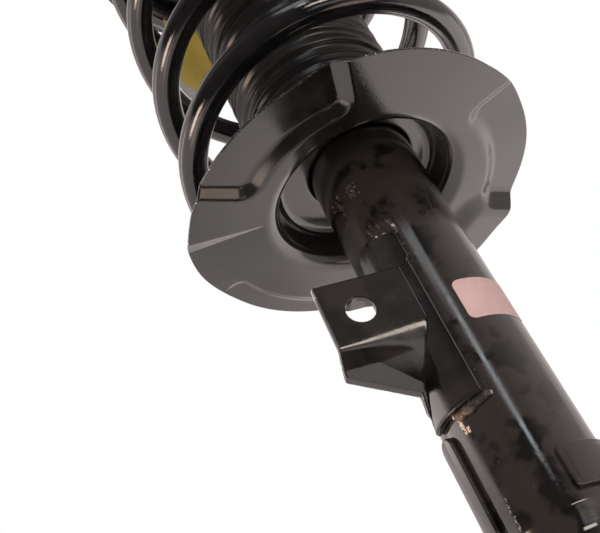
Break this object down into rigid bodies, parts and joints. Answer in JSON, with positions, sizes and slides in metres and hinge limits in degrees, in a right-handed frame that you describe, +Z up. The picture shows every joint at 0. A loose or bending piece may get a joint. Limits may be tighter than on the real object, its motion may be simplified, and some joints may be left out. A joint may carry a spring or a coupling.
{
  "type": "strut assembly",
  "caption": "Suspension strut: damper tube with a stepped spring seat and link bracket, coil spring, dust boot, bump stop and a top mount that turns on a bearing.",
  "frame": {"origin": "on the rod axis, at the shoulder of the damper tube that seats on the knuckle, where the tube begins to neck down to the spigot", "axes": "+Z up the piston rod, -Y the side that the link bracket's plate faces, -X the way the plate reaches out from the tube"},
  "size_m": [0.1746, 0.171, 0.571],
  "materials": {
    "black_enamel": "gloss",
    "spring_coating": "gloss",
    "weld_metal": "gloss over rough beads",
    "zinc_steel": "zinc plated",
    "bearing_steel": "polished",
    "hard_chrome": "ground and polished",
    "sintered_iron": "as sintered",
    "tube_steel": "bare",
    "bush_bronze": "satin",
    "band_plastic": "matt",
    "black_rubber": "matt",
    "foam": "fine closed cells"
  },
  "bodies": {
    "tube": {"strut_tube": "black_enamel", "base_cap": "black_enamel", "lower_spring_seat": "black_enamel", "link_bracket": "black_enamel", "weld_beads": "weld_metal", "locating_key": "black_enamel", "tube_pad": "black_enamel", "pressure_tube": "tube_steel", "base_valve": "sintered_iron", "rod_guide": "sintered_iron", "guide_bush": "bush_bronze", "rod_seal": "black_rubber", "striker_cap": "zinc_steel", "coil_spring": "spring_coating", "dust_boot": "black_rubber"},
    "upper_seat": {"upper_spring_seat": "black_enamel", "upper_insulator": "black_rubber", "bearing_lower_race": "bearing_steel", "bearing_balls": "bearing_steel"},
    "mount": {"bearing_upper_race": "bearing_steel", "mount_plate": "black_enamel", "mount_studs": "zinc_steel", "mount_rubber": "black_rubber", "mount_sleeve": "zinc_steel", "rod_washer": "zinc_steel", "rod_nut": "zinc_steel", "bump_stop": "foam", "bump_stop_cup": "zinc_steel", "piston_rod": "hard_chrome", "piston": "sintered_iron", "piston_band": "band_plastic", "piston_nut": "zinc_steel", "rebound_stop": "tube_steel"}
  },
  "joints": [
    {"name": "rod_slide", "type": "slide", "parent": "tube", "child": "upper_seat", "axis": [0, 0, -1], "range_m": [0, 0.14], "stiffness_N_per_m": 28000, "springref_m": -0.01, "deforming": ["coil_spring", "dust_boot"]},
    {"name": "bearing_turn", "type": "hinge", "parent": "upper_seat", "child": "mount", "pos_m": [0, 0, 0.4565], "axis": [0, 0, 1], "range_deg": [-40, 40]}
  ]
}
